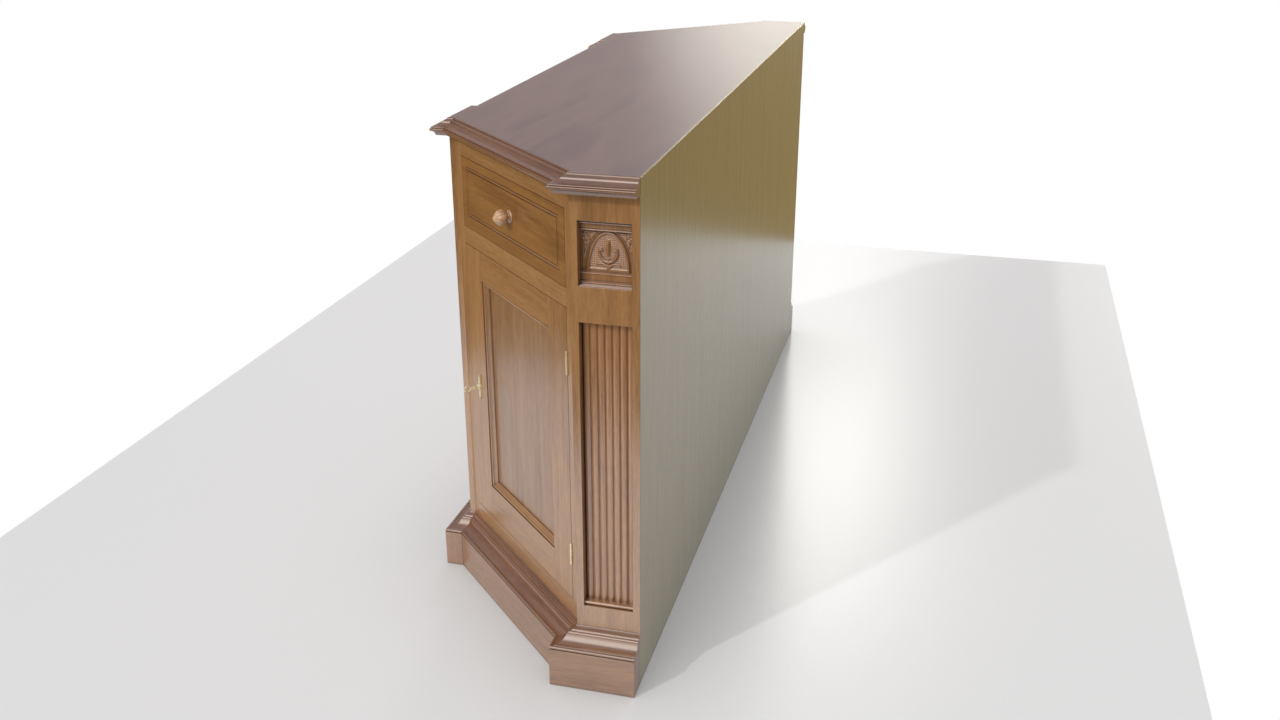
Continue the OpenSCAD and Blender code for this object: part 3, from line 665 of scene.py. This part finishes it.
def knob_ring(bm, centre, axis, height, radius, carved):
    """One ring of the knob, drawn in where a groove runs between two lobes."""
    side = axis.orthogonal().normalized()
    other = axis.cross(side)
    ring = []
    for i in range(KNOB_SEGMENTS):
        angle = 2 * math.pi * i / KNOB_SEGMENTS
        cut = LOBE_CUT * carved * (1 - abs(math.sin(KNOB_LOBES * angle / 2))) ** LOBE_SHARPNESS
        out = (side * math.cos(angle) + other * math.sin(angle)) * radius * (1 - cut)
        ring.append(bm.verts.new(centre + (out + axis * height * (1 - LOBE_SHORTENING * cut)) * MM))
    return ring


def knob_mesh(name, centre, axis):
    """A turned and lobed knob, closed at both ends."""
    bm = bmesh.new()
    rings = [knob_ring(bm, centre, axis, *ring) for ring in KNOB_FOOT + KNOB_NECK + KNOB_BALL + KNOB_NUB]
    for low, high in zip(rings, rings[1:]):
        for i in range(KNOB_SEGMENTS):
            after = (i + 1) % KNOB_SEGMENTS
            bm.faces.new((low[i], low[after], high[after], high[i]))
    bm.faces.new(rings[0][::-1])
    bm.faces.new(rings[-1])
    mesh = finished_mesh(bm, name)
    for polygon in mesh.polygons:
        polygon.use_smooth = True
    return mesh


def add_knobs():
    for bay, place in BAYS.items():
        low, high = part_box(f"{bay}_drawer_knob")
        middle = (low + high) / 2
        on_face = middle + place.out * (place.corner - middle).dot(place.out)
        centre = Vector((on_face.x, on_face.y, middle.z))
        name = f"knob_{bay}"
        obj = link(name, knob_mesh(name, centre, place.out), MATERIALS["knob_wood"])
        set_grain(obj)
        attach(obj, f"{bay}_drawer")
        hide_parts(f"{bay}_drawer_knob")


add_knobs()

# ---------------------------------------------------------------- floor, light and camera

FLOOR_X = 2.0
FLOOR_Y = 1.32
FLOOR_DROP = 0.5 * MM
FLOOR_STOPS = [(0.3, (0.487, 0.492, 0.495)), (0.7, (0.507, 0.512, 0.515))]
FLOOR_SHADE_REACH = 0.32
SUN_PLACE = (3.6, -2.6, 3.0)
SUN_STRENGTH = 1.06
SUN_ANGLE = 0.03
CAMERA_PLACE = (2.938, 0.7866, 1.5178)
CAMERA_WAY = (-0.8942, -0.2355, -0.3806)
CAMERA_LENS = 35.92
CAMERA_SENSOR = 36
# The dome's light from SKY_LOW to SKY_HIGH, given as parts of the way up
SKY_LOW, SKY_HIGH = -0.05, 0.95
SKY = [
    (0.0, (0.27, 0.17, 0.07)), (0.04, (0.27, 0.17, 0.07)), (0.07, (0.17, 0.15, 0.16)),
    (0.35, (0.17, 0.16, 0.18)), (0.60, (0.28, 0.28, 0.30)), (1.0, (0.42, 0.42, 0.44)),
]
# Coloured parts of the studio: the way to each, its radius and soft edge as cosines, and its light
PANES = [
    ((-0.951, -0.255, 0.174), 0.970, 0.870, (0.25, 0.22, 0.23)),
    ((-0.987, -0.112, 0.113), 0.998, 0.988, (1.2, 1.18, 1.05)),
    ((-0.880, -0.100, 0.465), 0.9988, 0.995, (13.0, 13.0, 12.2)),
    ((-0.968, 0.241, 0.070), 0.996, 0.985, (8.0, 7.8, 6.6)),
    ((-0.950, 0.250, -0.200), 0.940, 0.820, (0.12, 0.11, 0.04)),
    ((0.80, -0.22, 0.56), 0.966, 0.82, (2.1, 1.95, 1.8)),
]


def floor_material():
    """A pale, slightly glossy sheet. It glows a little as painted light, and the glow is weaker near the
    cabinet as a painted shadow, which keeps its shadows soft.
    """
    n = Nodes(bpy.data.materials.new("floor"))
    place = n.add("ShaderNodeTexCoord").outputs["Object"]
    grain = n.noise(place, 4, 0.6, 0, 160)
    colour = n.ramp(grain, FLOOR_STOPS)
    # Painted shadow: the floor's painted glow dims where the cabinet closes it in
    shade = n.add("ShaderNodeAmbientOcclusion", {"Distance": FLOOR_SHADE_REACH}, samples=AO_SAMPLES)
    painted_glow = shade.outputs["Color"]
    values = {"Roughness": 0.27, "Specular IOR Level": 0.4, "Emission Strength": 0.345}
    shader = n.add("ShaderNodeBsdfPrincipled", values, {"Base Color": colour, "Emission Color": painted_glow})
    return n.finish(shader.outputs["BSDF"])


def add_floor():
    bm = bmesh.new()
    corners = [(-FLOOR_X, -FLOOR_Y), (FLOOR_X, -FLOOR_Y), (FLOOR_X, FLOOR_Y), (-FLOOR_X, FLOOR_Y)]
    bm.faces.new([bm.verts.new((x, y, -FLOOR_DROP)) for x, y in corners])
    mesh = bpy.data.meshes.new("floor")
    bm.to_mesh(mesh)
    bm.free()
    link("floor", mesh, floor_material())


def add_world():
    """White behind the cabinet for the camera; the light itself is a dome over a dark ground."""
    world = bpy.data.worlds.new("studio")
    bpy.context.scene.world = world
    n = Nodes(world)
    place = n.add("ShaderNodeTexCoord").outputs["Generated"]
    way = n.add("ShaderNodeSeparateXYZ", links={"Vector": place})
    height = n.grey_ramp(way.outputs["Z"], SKY_LOW, SKY_HIGH)
    light = n.ramp(height, SKY)
    for toward, inner, outer, colour in PANES:
        values = {1: tuple(Vector(toward).normalized())}
        near = n.add("ShaderNodeVectorMath", values, {0: place}, operation="DOT_PRODUCT").outputs["Value"]
        glow = n.scaled(n.grey_ramp(near, outer, inner), colour)
        light = n.mix(1.0, light, glow, "ADD")
    lit = n.add("ShaderNodeBackground", links={"Color": light}).outputs[0]
    seen = n.add("ShaderNodeBackground", {"Color": (1, 1, 1, 1)}).outputs[0]
    camera_ray = n.add("ShaderNodeLightPath").outputs["Is Camera Ray"]
    mix = n.add("ShaderNodeMixShader", links={0: camera_ray, 1: lit, 2: seen})
    n.finish(mix.outputs[0], "ShaderNodeOutputWorld")


def aimed(name, data, place, way):
    """A light or camera at a place, looking along a way."""
    obj = bpy.data.objects.new(name, data)
    bpy.context.scene.collection.objects.link(obj)
    obj.location = place
    obj.rotation_euler = Vector(way).to_track_quat("-Z", "Y").to_euler()
    return obj


def add_sun():
    """A soft sun that lights the surfaces but leaves no glint on the varnish."""
    data = bpy.data.lights.new("key", "SUN")
    data.energy = SUN_STRENGTH
    data.angle = SUN_ANGLE
    aimed("key", data, SUN_PLACE, -Vector(SUN_PLACE)).visible_glossy = False


def add_camera():
    data = bpy.data.cameras.new("camera")
    data.lens = CAMERA_LENS
    data.sensor_width = CAMERA_SENSOR
    bpy.context.scene.camera = aimed("camera", data, CAMERA_PLACE, CAMERA_WAY)


add_floor()
add_world()
add_sun()
add_camera()
bpy.context.scene.view_settings.view_transform = "Standard"
